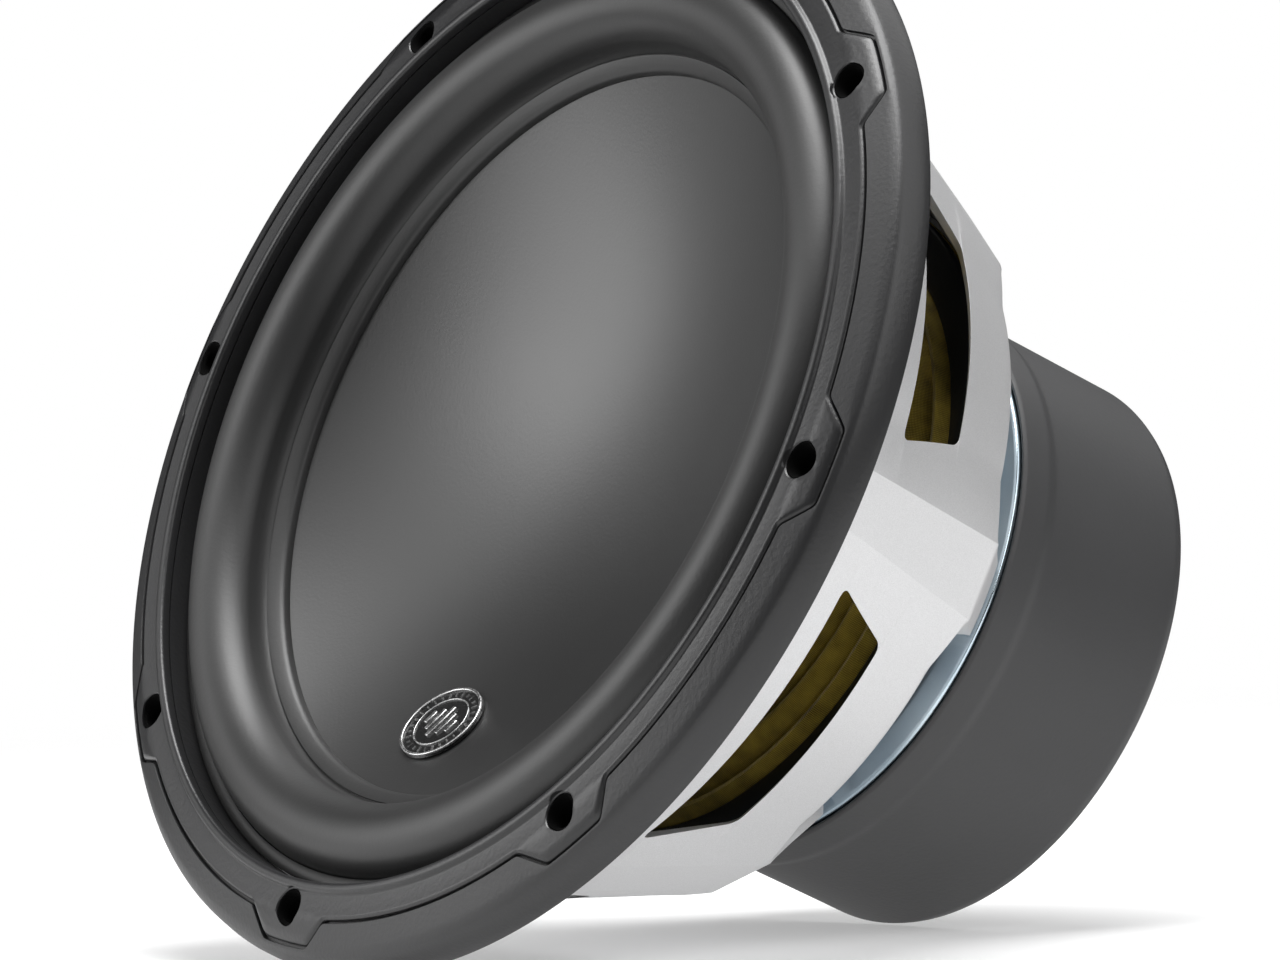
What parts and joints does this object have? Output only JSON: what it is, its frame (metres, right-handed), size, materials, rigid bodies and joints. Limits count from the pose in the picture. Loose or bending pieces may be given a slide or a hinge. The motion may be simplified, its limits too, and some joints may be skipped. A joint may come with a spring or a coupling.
{
  "type": "car subwoofer speaker",
  "caption": "Round car subwoofer driver with a dished cone, rubber surround, open spoked basket, clamped mounting flange and a booted magnet motor.",
  "frame": {"origin": "centre of the motor's flat back face, on the speaker's axis", "axes": "+Z along the speaker axis from the motor to the cone; +Y towards the push terminals; bolt holes at every 45 degrees from +X"},
  "size_m": [0.274, 0.274, 0.1606],
  "materials": {
    "basket_paint": "silver powder paint, satin with a fine speckle",
    "charcoal_plastic": "fine grained charcoal",
    "gasket_rubber": "matte, crisp moulded edges",
    "boot_rubber": "matte, fine grain",
    "zinc_plate": "bright zinc plating, bluish",
    "ferrite": "dull grey ferrite",
    "steel": "plated steel",
    "aluminium": "plain",
    "copper_wire": "enamelled copper winding",
    "cone_skin": "satin, mineral-filled polymer",
    "surround_rubber": "matte",
    "spider_cloth": "resin-treated woven cloth, mustard",
    "black_plastic": "moulded",
    "badge_black": "gloss",
    "badge_silver": "satin silver",
    "red_plastic": "moulded",
    "brass": "plated brass",
    "lead_braid": "braided tinsel lead"
  },
  "bodies": {
    "basket": {"basket": "basket_paint", "trim_ring": "charcoal_plastic", "mounting_gasket": "gasket_rubber", "motor_boot": "boot_rubber", "top_plate": "zinc_plate", "magnet_rear": "ferrite", "magnet_front": "ferrite", "back_plate": "steel", "pole_piece": "steel", "shorting_ring": "aluminium", "vent_screen": "steel", "surround": "surround_rubber", "spider": "spider_cloth", "spider_clamp_ring": "black_plastic", "terminal_block": "black_plastic", "button_spring_positive": "steel", "button_spring_negative": "steel", "terminal_contact_positive": "brass", "terminal_contact_negative": "brass", "tinsel_lead_positive": "lead_braid", "tinsel_lead_negative": "lead_braid", "terminal_screw_right": "steel", "terminal_screw_left": "steel", "motor_screw_1": "steel", "motor_screw_2": "steel", "motor_screw_3": "steel", "motor_screw_4": "steel", "motor_screw_5": "steel", "motor_screw_6": "steel"},
    "cone": {"cone": "cone_skin", "inner_cone": "cone_skin", "voice_coil_former": "aluminium", "voice_coil_winding": "copper_wire", "coil_collar": "black_plastic", "badge_disc": "badge_black", "badge_rim": "badge_silver", "badge_emblem": "badge_silver"},
    "button_positive": {"push_button_positive": "red_plastic"},
    "button_negative": {"push_button_negative": "black_plastic"}
  },
  "joints": [
    {"name": "cone_stroke", "type": "slide", "parent": "basket", "child": "cone", "axis": [0, 0, 1], "range_m": [-0.012, 0.012], "stiffness_N_per_m": 7000, "deforming": ["surround", "spider", "tinsel_lead_positive", "tinsel_lead_negative"]},
    {"name": "press_positive", "type": "slide", "parent": "basket", "child": "button_positive", "axis": [0, 0, -1], "range_m": [0, 0.0025], "stiffness_N_per_m": 400, "deforming": ["button_spring_positive"]},
    {"name": "press_negative", "type": "slide", "parent": "basket", "child": "button_negative", "axis": [0, 0, -1], "range_m": [0, 0.0025], "stiffness_N_per_m": 400, "deforming": ["button_spring_negative"]}
  ]
}
